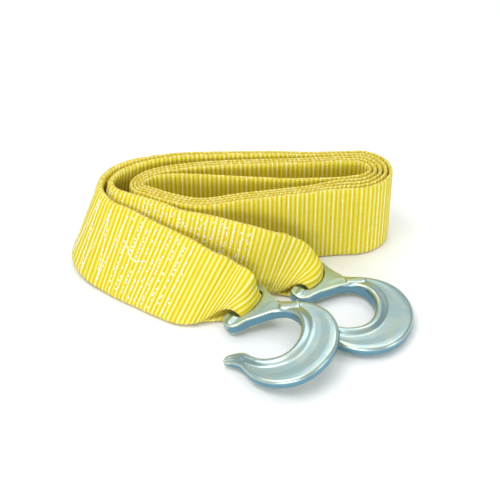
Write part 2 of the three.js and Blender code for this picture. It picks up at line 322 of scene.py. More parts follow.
def strip_mesh(name, strips):
    """One closed mesh for each strip of webbing, with what the rib tree needs."""
    verts, faces, along_all, lift_all, uv_all = [], [], [], [], []
    for strip, places in strips:
        points, out, _, side = strip.surface(np.concatenate([[0.0], places, [1.0]]))
        hem = (places < HEM) | (places > 1 - HEM)
        soft = np.where(hem, HEM_THICK, 1.0)[None, :, None]
        ribbed = np.where(hem, HEM_RIB, 1.0)[None, :, None]
        half = strip.thick[:, None, None] / 2
        front = points[:, 1:-1] + out[:, 1:-1] * half * soft
        back = points[:, 1:-1] - out[:, 1:-1] * half * soft
        ring = np.concatenate([points[:, :1], front, points[:, -1:], back[:, ::-1]], 1)
        face_lift = out[:, 1:-1] * ribbed
        lift = np.concatenate([
            -side[:, :1] * EDGE_RIB, face_lift, side[:, -1:] * EDGE_RIB, -face_lift[:, ::-1],
        ], 1)
        v = np.concatenate([[0.0], places, [1.0], places[::-1]])
        count, m = len(ring), ring.shape[1]
        base = sum(len(x) for x in verts)
        i, j = np.meshgrid(np.arange(count - 1), np.arange(m), indexing="ij")
        a, b = base + i * m + j, base + i * m + (j + 1) % m
        quads = np.stack([a, b, b + m, a + m], -1).reshape(-1, 4)
        faces.extend(quads.tolist())
        faces.append([base + k for k in range(m)][::-1])
        faces.append([base + (count - 1) * m + k for k in range(m)])
        verts.append(ring.reshape(-1, 3) * MM)
        lift_all.append(lift.reshape(-1, 3))
        along_all.append(np.repeat(strip.along, m) * MM)
        uv = np.column_stack([np.repeat(strip.along, m), np.tile(v * WIDTH, count)])
        uv_all.append(uv * MM)
    mesh = bpy.data.meshes.new(name)
    mesh.from_pydata(np.vstack(verts).tolist(), [], faces)
    along = mesh.attributes.new("along", "FLOAT", "POINT")
    along.data.foreach_set("value", np.concatenate(along_all).astype(np.float32))
    lift = mesh.attributes.new("lift", "FLOAT_VECTOR", "POINT")
    lift.data.foreach_set("vector", np.vstack(lift_all).astype(np.float32).ravel())
    corner = np.zeros(len(mesh.loops), np.int32)
    mesh.loops.foreach_get("vertex_index", corner)
    layer_uv = mesh.uv_layers.new(name="UVMap")
    layer_uv.data.foreach_set("uv", np.vstack(uv_all)[corner].astype(np.float32).ravel())
    mesh.validate()
    return mesh


# The loop round each bar, in the hook's own frame: rows of five (u, v, n) from the top edge
# of the webbing to its foot. The upper ply comes over the bar, down the slot and back below.
HOOD_NEAR = [
    [(-6.5, -10, 21.5), (-7.6, -2.1, 17.3), (-9.2, 5.8, 12.4), (-11.6, 13.6, 7.2), (-14.6, 21.5, 1.2)],
    [(-2.3, -11, 19.4), (-2.6, -4.6, 16.5), (-3.6, 1.8, 12.6), (-6.1, 8.2, 8.1), (-9.8, 14.6, 3)],
    [(2.2, -11, 16.2), (2.5, -5.4, 14.2), (1.1, 0.2, 11.3), (-1.6, 5.7, 8.5), (-5.2, 11.3, 4.8)],
    [(2.4, -10.6, 9), (3.6, -5.3, 9.2), (3.8, 0, 8), (2.1, 5.3, 7.2), (-0.4, 10.6, 6)],
    [(3, -10, 4.4), (4.8, -5, 4.4), (5.3, 0, 4.6), (4.9, 5.2, 4.6), (3.2, 10.2, 4.4)],
    [(4.8, -10, 0.5), (6, -5, 0.6), (6.3, 0, 0.6), (6, 5, 0.6), (5.2, 9.8, 0.6)],
    [(4.4, -10, -3), (5.2, -5, -3.2), (5.4, 0, -3.3), (5.2, 5, -3.2), (4.6, 9.8, -3)],
    [(0.8, -10.4, -5), (0.8, -5.2, -5), (0.8, 0, -5), (0.8, 5.2, -4.9), (0.8, 10.4, -4.8)],
    [(-5, -11, -3.4), (-5, -5.5, -4), (-5, 1, -3.9), (-5.2, 7.5, -3.2), (-5.6, 13.2, -2.4)],
    [(-9.5, -9.5, 3), (-10, -2, 1), (-11, 6, -0.8), (-12.4, 13.5, -1.4), (-14, 20, -0.8)],
]
HOOD_FAR = [
    [(-6.3, -8, 20.8), (-6.6, -2.4, 15.8), (-8, 3.3, 10), (-10.3, 9, 3.8), (-13.2, 14.6, -3.4)],
    [(-3, -10, 16), (-2.2, -4.3, 13.4), (-3, 1.4, 9.6), (-5.2, 7.1, 5), (-8.4, 12.8, -1)],
    [(-0.3, -11, 11), (1.4, -5.5, 10.4), (0.8, 0, 8.6), (-1.2, 5.5, 6.4), (-4.6, 11, 2.8)],
    [(2.4, -11, 7.9), (4.6, -5.6, 8), (4.4, 0, 7.2), (2.8, 5, 6.4), (-0.6, 10.2, 4.8)],
    [(3.7, -10.6, 4.6), (5.8, -5.4, 4.8), (6.8, 0, 4.4), (5.7, 5.2, 4.4), (3.2, 10, 4.2)],
    [(4.8, -10.2, 1), (6.6, -5.2, 1), (7.4, 0, 1), (6.6, 5, 1), (5.2, 9.8, 0.6)],
    [(4.4, -10.2, -3), (5.8, -5.2, -3), (6.4, 0, -3), (5.8, 5, -3), (4.6, 9.8, -3)],
    [(0.8, -10.4, -5), (0.8, -5.2, -5), (0.8, 0, -5), (0.8, 5.2, -5), (0.8, 10.4, -5)],
    [(-5, -11, -4), (-5, -5.5, -4.6), (-5, 1, -4.8), (-5.2, 7.5, -4.9), (-5.6, 12.5, -4.9)],
    [(-10, -9, 3), (-10.5, -3, 0.5), (-11.3, 3, -2), (-12.3, 9, -4), (-13.5, 14, -4.9)],
]


def loop_strip(rows, hook, hood, end, face, spacing):
    """The single ply that leaves one face of the sewn end, rounds the bar and returns."""
    near_end = rows[:END_ROWS] if end == 0 else rows[::-1][:END_ROWS]
    edge = Strip(columns(near_end), near_end[:, 6], lengths(columns(near_end)[:, 2]))
    points, out, _, _ = edge.surface(COLUMNS)
    offset = (SEWN - PLY) / 2 * face * (1 if end == 0 else -1)
    upper = [points[k] + out[k] * offset for k in (LEAD, 0)]
    lower = [points[k] - out[k] * offset for k in (0, LEAD)]
    middle = [on_hook(hook, row) + SHIFT for row in hood]
    net = np.array([*upper, *middle, *lower])
    t = np.linspace(1 / (len(net) - 1), 1 - 1 / (len(net) - 1), LOOP_FINE)
    cols = np.stack([spline(net[:, k], t) for k in range(len(COLUMNS))], 1)
    return resample(cols, np.full(len(cols), PLY), spacing)


def webbing_strips(pitch):
    """The strips of the strap: the long run and the loop at each end."""
    rows = route()
    cols = columns(rows)
    spacing = pitch / RIB_STEPS
    even, thick, along = resample(cols, rows[:, 6], spacing)
    total = along[-1]
    strips = {"run": Strip(even, thick, along)}
    cols, thick, along = loop_strip(rows, NEAR, HOOD_NEAR, 0, 1, spacing)
    strips["near"] = Strip(cols[::-1], thick[::-1], -along[::-1])
    cols, thick, along = loop_strip(rows, FAR, HOOD_FAR, -1, -1, spacing)
    strips["far"] = Strip(cols, thick, total + along)
    return strips


# Node helpers


class Nodes:
    """Builds a node tree with few words."""

    def __init__(self, tree):
        self.tree = tree

    def add(self, kind, inputs=None, **settings):
        node = self.tree.nodes.new(kind)
        for key, value in settings.items():
            setattr(node, key, value)
        self.feed(node, inputs or {})
        return node

    def feed(self, node, inputs):
        """Links or sets each input of a node."""
        for key, value in inputs.items():
            if isinstance(value, bpy.types.NodeSocket):
                self.tree.links.new(value, node.inputs[key])
            else:
                node.inputs[key].default_value = value

    def math(self, operation, a, b=0.0, clamp=False):
        node = self.add("ShaderNodeMath", {0: a, 1: b}, operation=operation, use_clamp=clamp)
        return node.outputs[0]

    def times(self, *values):
        result = values[0]
        for value in values[1:]:
            result = self.math("MULTIPLY", result, value)
        return result

    def plus(self, a, b):
        return self.math("ADD", a, b)

    def minus(self, a, b):
        return self.math("SUBTRACT", a, b)

    def mix(self, factor, a, b):
        """Colour a to colour b, which are sockets 6 and 7 of a Mix node."""
        node = self.add("ShaderNodeMix", data_type="RGBA")
        self.feed(node, {0: factor, 6: a, 7: b})
        return node.outputs[2]

    def ramp(self, value, low, high):
        """0 below low, 1 above high and smooth between."""
        node = self.add(
            "ShaderNodeMapRange",
            {"Value": value, "From Min": low, "From Max": high},
            interpolation_type="SMOOTHSTEP",
        )
        return node.outputs["Result"]

    def noise(self, place, scale, detail, roughness=0.5):
        inputs = {"Vector": place, "Scale": scale, "Detail": detail, "Roughness": roughness}
        return self.add("ShaderNodeTexNoise", inputs).outputs["Fac"]

    def bump(self, shader, height, strength, distance):
        """Relief on a shader, its distance in metres."""
        inputs = {"Height": height, "Strength": strength, "Distance": distance}
        self.feed(shader, {"Normal": self.add("ShaderNodeBump", inputs).outputs[0]})

    def named(self, name, kind):
        """A named attribute of the mesh, in a geometry tree."""
        return self.add("GeometryNodeInputNamedAttribute", {"Name": name}, data_type=kind).outputs[0]


def geometry_tree(name, inputs):
    tree = bpy.data.node_groups.new(name, "GeometryNodeTree")
    face = tree.interface
    face.new_socket("Geometry", in_out="INPUT", socket_type="NodeSocketGeometry")
    sockets = {}
    for label, kind in inputs:
        sockets[label] = face.new_socket(label, in_out="INPUT", socket_type=kind).identifier
    face.new_socket("Geometry", in_out="OUTPUT", socket_type="NodeSocketGeometry")
    make = Nodes(tree)
    return tree, make, make.add("NodeGroupInput"), make.add("NodeGroupOutput"), sockets


def grown(obj, tree, values):
    """Runs a geometry tree on an object and keeps the result as its plain mesh."""
    modifier = obj.modifiers.new("grow", "NODES")
    modifier.node_group = tree
    for identifier, value in values.items():
        modifier[identifier] = value
    return settled(obj)


def settled(obj):
    graph = bpy.context.evaluated_depsgraph_get()
    mesh = bpy.data.meshes.new_from_object(
        obj.evaluated_get(graph), preserve_all_data_layers=True, depsgraph=graph
    )
    obj.modifiers.clear()
    old = obj.data
    obj.data = mesh
    mesh.name = old.name
    bpy.data.meshes.remove(old)
    return obj


def placed(name, mesh):
    obj = bpy.data.objects.new(name, mesh)
    bpy.context.scene.collection.objects.link(obj)
    return obj


def rib_tree():
    """Raises the crosswise ribs of the webbing along each point's own direction."""
    tree, make, start, end, sockets = geometry_tree("Webbing ribs", [
        ("Rib Pitch", "NodeSocketFloat"), ("Rib Height", "NodeSocketFloat"),
        ("Material", "NodeSocketMaterial"),
    ])
    along = make.named("along", "FLOAT")
    lift = make.named("lift", "FLOAT_VECTOR")
    turns = make.math("DIVIDE", along, start.outputs["Rib Pitch"])
    x = make.minus(make.times(make.math("FRACT", turns), 2.0), 1.0)
    under = make.math("MAXIMUM", make.minus(1.0, make.times(x, x)), 0.0)
    height = make.times(make.math("SQRT", under), start.outputs["Rib Height"])
    offset = make.add("ShaderNodeVectorMath", {0: lift, "Scale": height}, operation="SCALE")
    moved = make.add("GeometryNodeSetPosition", {
        "Geometry": start.outputs["Geometry"], "Offset": offset.outputs[0],
    })
    real = make.add("GeometryNodeRealizeInstances", {"Geometry": moved.outputs[0]})
    done = make.add("GeometryNodeSetMaterial", {
        "Geometry": real.outputs[0], "Material": start.outputs["Material"],
    })
    tree.links.new(done.outputs[0], end.inputs[0])
    return tree, sockets


def stitch_tree():
    """Lays one short thread at each point, along its run and out from the cloth."""
    tree, make, start, end, sockets = geometry_tree("Stitches", [
        ("Thread Radius", "NodeSocketFloat"), ("Material", "NodeSocketMaterial"),
    ])
    ahead, out, size = (make.named(name, "FLOAT_VECTOR") for name in ("ahead", "out", "size"))
    ball = make.add("GeometryNodeMeshUVSphere", {
        "Segments": 8, "Rings": 5, "Radius": start.outputs["Thread Radius"],
    })
    turned = make.add("FunctionNodeAxesToRotation", {
        "Primary Axis": out, "Secondary Axis": ahead,
    }, primary_axis="Z", secondary_axis="X")
    laid = make.add("GeometryNodeInstanceOnPoints", {
        "Points": start.outputs["Geometry"], "Instance": ball.outputs[0],
        "Rotation": turned.outputs[0], "Scale": size,
    })
    real = make.add("GeometryNodeRealizeInstances", {"Geometry": laid.outputs[0]})
    shade = make.add("GeometryNodeSetShadeSmooth", {"Geometry": real.outputs[0]})
    done = make.add("GeometryNodeSetMaterial", {
        "Geometry": shade.outputs[0], "Material": start.outputs["Material"],
    })
    tree.links.new(done.outputs[0], end.inputs[0])
    return tree, sockets


# Materials


def new_material(name):
    material = bpy.data.materials.new(name)
    material.use_nodes = True
    tree = material.node_tree
    shader = next(n for n in tree.nodes if n.type == "BSDF_PRINCIPLED")
    return material, Nodes(tree), shader


BEAD_PITCH = 0.00105           # metres from knot to knot of the thread on a rib


def webbing_material(sizes):
    """Ribbed yellow polyester: painted highlight on the knotted rib crests, painted shade in the valleys.
    """
    yarn, highlight_and_pale_yarn, shade_and_dark_yarn = tuple(sizes.colour), tuple(sizes.crest_highlight_and_hem_colour), tuple(sizes.shade_and_dark_yarn_colour)
    material, make, shader = new_material("yellow webbing")
    uv = make.add("ShaderNodeUVMap", uv_map="UVMap")
    split = make.add("ShaderNodeSeparateXYZ", {0: uv.outputs[0]})
    along, over = split.outputs[0], split.outputs[1]
    turns = make.math("DIVIDE", along, sizes.rib_pitch)
    number = make.math("FLOOR", turns)
    # 0 on the crest of a rib and 1 in the valleys
    x = make.math("ABSOLUTE", make.minus(make.times(make.math("FRACT", turns), 2.0), 1.0))
    crest = make.ramp(x, 0.46, 0.14)
    valley = make.ramp(x, 0.62, 0.98)
    one = make.add("ShaderNodeTexWhiteNoise", {"W": number}, noise_dimensions="1D").outputs["Value"]
    # the knots of thread along each rib, a little out of step from one rib to the next
    waves = make.plus(make.times(over, 2 * math.pi / BEAD_PITCH), make.times(one, 6.0))
    bead = make.ramp(make.math("SINE", waves), -0.9, 0.7)
    place = make.add("ShaderNodeCombineXYZ", {0: along, 1: over, 2: 0.0}).outputs[0]
    grain = make.noise(place, 2600.0, 3.0)
    patch = make.noise(place, 95.0, 2.0)
    # the painted highlight is stronger on every second rib, each rib by its own share, and fades in and
    # out in patches
    second = make.times(make.math("FRACT", make.times(number, 0.5)), 2.0)
    strength = make.plus(make.times(make.ramp(one, 0.0, 0.9), 0.25), make.times(second, 0.42))
    knotted = make.plus(0.5, make.times(bead, 0.5))
    light = make.times(crest, make.plus(0.38, strength), knotted)
    light = make.math("MULTIPLY", light, make.plus(0.55, make.times(patch, 0.9)), True)
    # both edges are speckled where the weft turns back
    edge = make.math("MINIMUM", over, make.minus(WIDTH * MM, over))
    hem = make.ramp(edge, 0.0013, 0.0004)
    body = make.mix(make.times(grain, 0.5), yarn, shade_and_dark_yarn)
    # painted highlight on the rib crests
    lit = make.mix(light, body, highlight_and_pale_yarn)
    # painted shade in the valleys between the ribs
    low = make.mix(make.times(valley, 0.8), lit, shade_and_dark_yarn)
    speck = make.add("ShaderNodeTexVoronoi", {"Vector": place, "Scale": 1250.0}).outputs["Distance"]
    hem_look = make.mix(make.ramp(speck, 0.62, 0.2), shade_and_dark_yarn, highlight_and_pale_yarn)
    colour = make.mix(make.times(hem, 0.5), low, hem_look)
    make.feed(shader, {
        "Base Color": colour, "Roughness": make.plus(0.5, make.times(grain, 0.25)),
        "Specular IOR Level": 0.35, "Sheen Weight": 0.05, "Sheen Roughness": 0.4,
    })
    relief = make.plus(make.times(bead, 0.6), make.times(grain, 0.4))
    make.bump(shader, relief, 0.55, 0.00012)
    return material


def thread_material(sizes):
    """White sewing thread, twisted."""
    material, make, shader = new_material("white thread")
    place = make.add("ShaderNodeTexCoord").outputs["Object"]
    twist = make.noise(place, 3200.0, 2.0)
    shade = tuple(c * 0.78 for c in sizes.colour[:3]) + (1.0,)
    colour = make.mix(make.ramp(twist, 0.35, 0.65), shade, tuple(sizes.colour))
    make.feed(shader, {"Base Color": colour, "Roughness": 0.45, "Sheen Weight": 0.2})
    make.bump(shader, twist, 0.4, 0.0001)
    return material


FLECK = (0.3, 0.36, 0.37, 1.0)


def zinc_material(sizes):
    """Bright zinc on forged steel: grey-green flats, painted blue reflection on the walls, painted
    straw-coloured highlight on the edges.
    """
    material, make, shader = new_material("bright zinc")
    wall = make.add("ShaderNodeAttribute", attribute_name="wall").outputs["Fac"]
    edge = make.add("ShaderNodeAttribute", attribute_name="edge").outputs["Fac"]
    place = make.add("ShaderNodeTexCoord").outputs["Object"]
    cloud = make.noise(place, 120.0, 3.0)
    grain = make.noise(place, 1400.0, 4.0, 0.6)
    flat = make.mix(make.ramp(cloud, 0.42, 0.62), tuple(sizes.colour), tuple(sizes.warm_colour))
    # painted blue reflection on the side walls
    side = make.mix(wall, flat, tuple(sizes.wall_reflection_colour))
    # painted straw-coloured highlight on the rounded edges
    colour = make.mix(make.times(edge, 0.7), side, tuple(sizes.edge_highlight_colour))
    flecked = make.mix(make.times(make.ramp(grain, 0.5, 0.75), 0.35), colour, FLECK)
    rough = make.plus(0.22, make.times(grain, 0.22))
    make.feed(shader, {"Base Color": flecked, "Metallic": 1.0, "Roughness": rough})
    make.bump(shader, grain, 0.16, 0.00012)
    return material


def floor_material(sizes):
    material, make, shader = new_material("pale floor")
    colour = tuple(sizes.floor_colour)
    make.feed(shader, {"Base Color": colour, "Roughness": 0.7, "Specular IOR Level": 0.2})
    return material


# Hooks


# Hook sizes in millimetres, in the forged body's frame. In a place (u, v), u runs towards
# the bowl and v towards the point, so v is -y. The bowl is pairs of places, one on the
# throat's side and one on the outside.
BOWL = [
    ((12.5, 5), (11, -13.5)), ((16, -2), (14.5, -15.3)), ((19.5, -7), (18.5, -18.3)),
    ((22.8, -10.3), (23, -22)), ((26.5, -12.2), (29, -25.6)), ((31, -12.7), (36, -27.8)),
    ((36, -11.6), (44, -28)), ((41, -8.7), (52.5, -25.3)), ((45, -4.5), (60, -20.3)),
    ((48, 1), (66.3, -12.8)), ((49.3, 6.5), (70.3, -3)), ((48.8, 11.8), (71.4, 7)),
    ((46.5, 16.5), (69, 17)), ((43, 20.2), (63, 25)), ((39.3, 22.4), (56, 29.8)),
    ((35.5, 23.3), (48.5, 32.2)), ((32, 24.1), (41.5, 32.2)), ((29, 26), (36, 31.9)),
    ((26.3, 28.7), (31.5, 33.2)), ((24.4, 31.6), (28, 35.4)), ((24, 33.8), (25.6, 36.2)),
]
BOWL_RINGS = 141
SECTION_POINTS = 72
FLANGE, RIM = 3.1, 5.0         # half thickness of the bowl, and of its rim
RIM_TOP, RIM_FOOT = 3.0, 7.5   # from the throat to the end of the rim's flat top, and its foot
EYE = 3.4                      # half thickness of the eye's plate
PLATE_ROUND = 1.0
PAD = (11, 3.7, 1.1)           # length, width, height
PAD_AT = (22.3, -15.4)
PAD_TURN = math.atan2(0.75, 0.66)

# The same in the bar's frame, where v runs along the bar
BAR = 3.4                      # radius
BAR_ENDS = (-14.4, 15.8)
SLOT = 6.0                     # from the bar's middle to the far side, without bow and corners
SLOT_BOW = 2.8
SLOT_CORNER = 1.2
SLOT_BACK, SLOT_FRONT = -10.9, 11.0
SLOT_REAR = -14                # behind the plate, so that only the bar closes the slot
# Radius and the two ends along y, then the place of the middle line
BOSS, BOSS_AT = (4.1, -19.3, -10.5), (2.1, 0, 0)
PIP, PIP_AT = (1.0, -20.1, -16), (2.4, 0, 1.0)
DOME = 0.55                    # height of a round end against its radius

SKEW = 15                      # turn of the forged body against the square to the bar, degrees
BAR_BACK = 1.5
# From the forged body's frame to the bar's
TO_BAR = Matrix.Rotation(-math.radians(SKEW), 4, "Z") @ Matrix.Translation((BAR_BACK, 0, 0))


def rings_mesh(rings):
    """Vertices and faces of a closed skin over rings of the same count."""
    n = len(rings[0])
    faces = []
    for i in range(len(rings) - 1):
        for j in range(n):
            k = (j + 1) % n
            faces.append((i * n + j, i * n + k, (i + 1) * n + k, (i + 1) * n + j))
    faces.append(tuple(range(n))[::-1])
    faces.append(tuple((len(rings) - 1) * n + j for j in range(n)))
    return np.vstack(rings), faces


def bowl_rings():
    """Sections of the bowl from the neck to the point, with the raised rim round the throat."""
    inner, outer = np.array([a for a, _ in BOWL], float), np.array([b for _, b in BOWL], float)
    rings = []
    for t in np.linspace(0, 1, BOWL_RINGS):
        a, b = spline(inner, t)[0], spline(outer, t)[0]
        reach = np.linalg.norm(b - a)
        fine = min(1, reach / 12)
        blunt = 1 - 0.45 * float(smooth(t, 0.78, 1))
        neck = float(smooth(t, 0.1, 0.3))
        rise = neck * fine
        low = FLANGE * blunt + (EYE - FLANGE) * (1 - neck)
        high = low + (RIM - FLANGE) * rise
        half = [
            (0, high - 2.6 * fine * blunt), (0.35 * fine, high - 1.2 * fine * blunt),
            (1.0 * fine, high - 0.35), (1.8 * fine, high), (RIM_TOP * fine + 0.3, high),
            (RIM_TOP * fine + 1.1, high * 0.9 + low * 0.1),
            ((RIM_TOP + 1.6) * fine + 0.6, high * 0.62 + low * 0.38),
            ((RIM_TOP + 2.9) * fine + 0.5, high * 0.2 + low * 0.8),
            (RIM_FOOT * fine, low), (reach - 2.2 * fine, low), (reach - 1.1 * fine, low - 0.35 * blunt),
            (reach - 0.3 * fine, low - 1.2 * blunt), (reach, low - 2.2 * blunt),
        ]
        section = [(d, -h) for d, h in half] + [(d, h) for d, h in reversed(half)]
        section = spline(section, np.linspace(0, 1, SECTION_POINTS, endpoint=False), True)
        along = (b - a) / reach
        p = a[None, :] + section[:, :1] * along[None, :]
        rings.append(np.column_stack([p[:, 0], -p[:, 1], section[:, 1]]))
    return rings


def curve2(a, c, b, n=10):
    """A quadratic arc from a to b, drawn towards c."""
    t = np.linspace(0, 1, n + 1)[1:, None]
    a, c, b = (np.array(p, float) for p in (a, c, b))
    return [tuple(p) for p in (1 - t) ** 2 * a + 2 * t * (1 - t) * c + t**2 * b]


def prism(outline, low, high):
    """An outline made solid between two heights."""
    p = np.array(outline, float)
    rings = [np.column_stack([p, np.full(len(p), z)]) for z in (low, high)]
    return rings_mesh(rings)


def eye_outline():
    """The eye's plate, with an ear at the back and two cheeks beside the slot."""
    points = [(-7.2, 12), *curve2((-7.2, 12), (-7, 15.4), (-2.6, 15.8))]
    points += curve2((-2.6, 15.8), (6, 13.2), (12.5, 14.4))
    points += [(19, 8), (13.6, -4.2)]
    points += curve2((13.6, -4.2), (11.6, -8), (11.4, -11))
    points += curve2((11.4, -11), (10.8, -18.2), (5, -18.4))
    points += curve2((5, -18.4), (1, -18.2), (-1, -16.6))
    return points[::-1]


def slot_outline():
    """The D-shaped slot, straight along the bar and bowed on the far side."""
    v = np.linspace(SLOT_BACK, SLOT_FRONT, 17)
    middle = (SLOT_BACK + SLOT_FRONT) / 2
    share = (v - middle) / ((SLOT_FRONT - SLOT_BACK) / 2)
    far = SLOT + SLOT_BOW * (1 - share**2) - SLOT_CORNER * np.abs(share) ** 8
    edge = [(u, -x) for u, x in zip(far, v)]
    return [(SLOT_REAR, -SLOT_BACK), *edge, (SLOT_REAR, -SLOT_FRONT)][::-1]


def capsule_rings(radius, low, high, turns=40):
    """Rings of a round bar along y, from low to high, with domed ends."""
    dome = radius * DOME
    rise, fall = np.linspace(0.15, math.pi / 2, 7), np.linspace(math.pi / 2, 0.15, 7)
    ends = [(low + dome * (1 - math.cos(a)), radius * math.sin(a)) for a in rise]
    ends += [(high - dome * (1 - math.cos(a)), radius * math.sin(a)) for a in fall]
    a = np.linspace(0, 2 * math.pi, turns, endpoint=False)
    return [np.column_stack([r * np.cos(a), np.full(turns, y), -r * np.sin(a)]) for y, r in ends]


def raw(name, shape):
    """An object from vertices and faces."""
    verts, faces = shape
    mesh = bpy.data.meshes.new(name)
    mesh.from_pydata(np.asarray(verts).tolist(), [], faces)
    obj = placed(name, mesh)
    mesh.validate()
    return obj


def forged_hook(name, sizes):
    """One hook in millimetres in its own frame: its solids melted into one forged skin."""
    plate = raw("plate", prism(eye_outline(), -EYE, EYE))
    plate.data.transform(TO_BAR)
    cutter = raw("cutter", prism(slot_outline(), -3 * EYE, 3 * EYE))
    cut = plate.modifiers.new("slot", "BOOLEAN")
    cut.operation, cut.object, cut.solver = "DIFFERENCE", cutter, "EXACT"
    settled(plate)
    rounded = plate.modifiers.new("rounded", "BEVEL")
    rounded.width, rounded.segments, rounded.limit_method = PLATE_ROUND, 3, "ANGLE"
    settled(plate)
    bowl = raw("bowl", rings_mesh(bowl_rings()))
    bowl.data.transform(TO_BAR)
    pad = raw("pad", prism(pad_outline(), FLANGE - 1, FLANGE + PAD[2]))
    pad.data.transform(TO_BAR)
    boss = raw("boss", rings_mesh(capsule_rings(*BOSS)))
    boss.data.transform(Matrix.Translation(BOSS_AT))
    pip = raw("pip", rings_mesh(capsule_rings(*PIP)))
    pip.data.transform(Matrix.Translation(PIP_AT))
    bar = raw("bar", rings_mesh(capsule_rings(BAR, -BAR_ENDS[1], -BAR_ENDS[0])))
    joined = join(name, [plate, bowl, bar, boss, pip, pad])
    bpy.data.objects.remove(cutter)
    melt = joined.modifiers.new("melt", "REMESH")
    melt.mode, melt.voxel_size = "VOXEL", sizes.grain / MM
    calm = joined.modifiers.new("calm", "SMOOTH")
    calm.factor, calm.iterations = 0.5, sizes.rounding
    return settled(joined)


def pad_outline():
    x, y = PAD[0] / 2, PAD[1] / 2
    c, s = math.cos(PAD_TURN), math.sin(PAD_TURN)
    corners = [(-x, -y), (x, -y), (x, y), (-x, y)]
    return [(PAD_AT[0] + x * c - y * s, -PAD_AT[1] + x * s + y * c) for x, y in corners]


def join(name, parts):
    """One object from the meshes of several, which are removed."""
    verts, faces = [], []
    for part in parts:
        base = len(verts)
        verts += [tuple(v.co) for v in part.data.vertices]
        faces += [tuple(base + i for i in p.vertices) for p in part.data.polygons]
        bpy.data.objects.remove(part)
    mesh = bpy.data.meshes.new(name)
    mesh.from_pydata(verts, [], faces)
    return placed(name, mesh)


def shade_attributes(mesh):
    """wall: how far a point faces sideways, which takes the painted blue reflection. edge: how far the
    metal bends outwards there, which takes the painted highlight.
    """
    n = len(mesh.vertices)
    co = np.zeros(n * 3, np.float32)
    normal = np.zeros(n * 3, np.float32)
    mesh.vertices.foreach_get("co", co)
    mesh.vertices.foreach_get("normal", normal)
    co, normal = co.reshape(-1, 3).astype(float), normal.reshape(-1, 3).astype(float)
    edges = np.zeros(len(mesh.edges) * 2, np.int32)
    mesh.edges.foreach_get("vertices", edges)
    a, b = edges.reshape(-1, 2).T
    d = co[b] - co[a]
    length = np.maximum(np.einsum("ij,ij->i", d, d), 1e-12)
    bend = np.einsum("ij,ij->i", normal[b] - normal[a], d) / length
    total, count = np.zeros(n), np.zeros(n)
    for i in (a, b):
        np.add.at(total, i, bend)
        np.add.at(count, i, 1)
    curve = total / np.maximum(count, 1)
    for _ in range(4):
        spread = np.zeros(n)
        np.add.at(spread, a, curve[b])
        np.add.at(spread, b, curve[a])
        curve = 0.5 * curve + 0.5 * spread / np.maximum(count, 1)
    values = {
        "wall": smooth(1 - np.abs(normal[:, 2]), 0.35, 0.85), "edge": smooth(curve, 0.12, 0.45),
    }
    for name, value in values.items():
        attribute = mesh.attributes.new(name, "FLOAT", "POINT")
        attribute.data.foreach_set("value", value.astype(np.float32))


# Sizes and colours that a user may change


class TowWebbingSizes(bpy.types.PropertyGroup):
    rib_pitch: bpy.props.FloatProperty(
        name="Rib pitch", description="From one crosswise rib to the next", default=0.00275, unit="LENGTH")
    rib_height: bpy.props.FloatProperty(
        name="Rib height", description="How far a rib stands out", default=0.00024, unit="LENGTH")
    colour: bpy.props.FloatVectorProperty(
        name="Yarn", description="Colour of the yarn", subtype="COLOR", size=4,
        default=(0.80, 0.68, 0.006, 1.0))
    # Painted highlight on the rib crests, also the light specks of the speckled hems
    crest_highlight_and_hem_colour: bpy.props.FloatVectorProperty(
        name="Rib crests", description="Colour of the light thread on the ribs", subtype="COLOR", size=4,
        default=(0.95, 0.93, 0.50, 1.0))
    # Painted shade in the valleys between the ribs, also the darker yarn of the grain and of the speckled
    # hems
    shade_and_dark_yarn_colour: bpy.props.FloatVectorProperty(
        name="Valleys", description="Colour between the ribs", subtype="COLOR", size=4,
        default=(0.60, 0.40, 0.004, 1.0))


class TowStitchSizes(bpy.types.PropertyGroup):
    radius: bpy.props.FloatProperty(
        name="Thread radius", description="Radius of the sewing thread", default=0.00034, unit="LENGTH")
    colour: bpy.props.FloatVectorProperty(
        name="Thread", description="Colour of the sewing thread", subtype="COLOR", size=4,
        default=(0.92, 0.92, 0.84, 1.0))
    seed: bpy.props.IntProperty(name="Seed", description="Seed of the uneven stitches", default=4)


class TowHookSizes(bpy.types.PropertyGroup):
    grain: bpy.props.FloatProperty(
        name="Mesh grain", description="Size of the mesh's cells", default=0.0004, unit="LENGTH")
    rounding: bpy.props.IntProperty(
        name="Rounding", description="How often the forged skin is smoothed", default=5)
    colour: bpy.props.FloatVectorProperty(
        name="Flats", description="Colour of the flat faces", subtype="COLOR", size=4,
        default=(0.40, 0.53, 0.53, 1.0))
    warm_colour: bpy.props.FloatVectorProperty(
        name="Clouds", description="Warmer clouds in the plating", subtype="COLOR", size=4,
        default=(0.47, 0.56, 0.50, 1.0))
    # Painted blue reflection on the side walls
    wall_reflection_colour: bpy.props.FloatVectorProperty(
        name="Walls", description="Colour of the side walls", subtype="COLOR", size=4,
        default=(0.15, 0.31, 0.40, 1.0))
    # Painted highlight on the rounded edges
    edge_highlight_colour: bpy.props.FloatVectorProperty(
        name="Edges", description="Colour of the rounded edges", subtype="COLOR", size=4,
        default=(0.80, 0.83, 0.62, 1.0))


class TowStageLook(bpy.types.PropertyGroup):
    floor_colour: bpy.props.FloatVectorProperty(
        name="Floor", description="Colour of the floor", subtype="COLOR", size=4,
        default=(0.96, 0.955, 0.95, 1.0))
    sky: bpy.props.FloatProperty(name="Sky", description="Strength of the light all round", default=1.0)
    key: bpy.props.FloatProperty(
        name="Key light", description="Power of the large light", default=3.6, unit="POWER")


# Operators


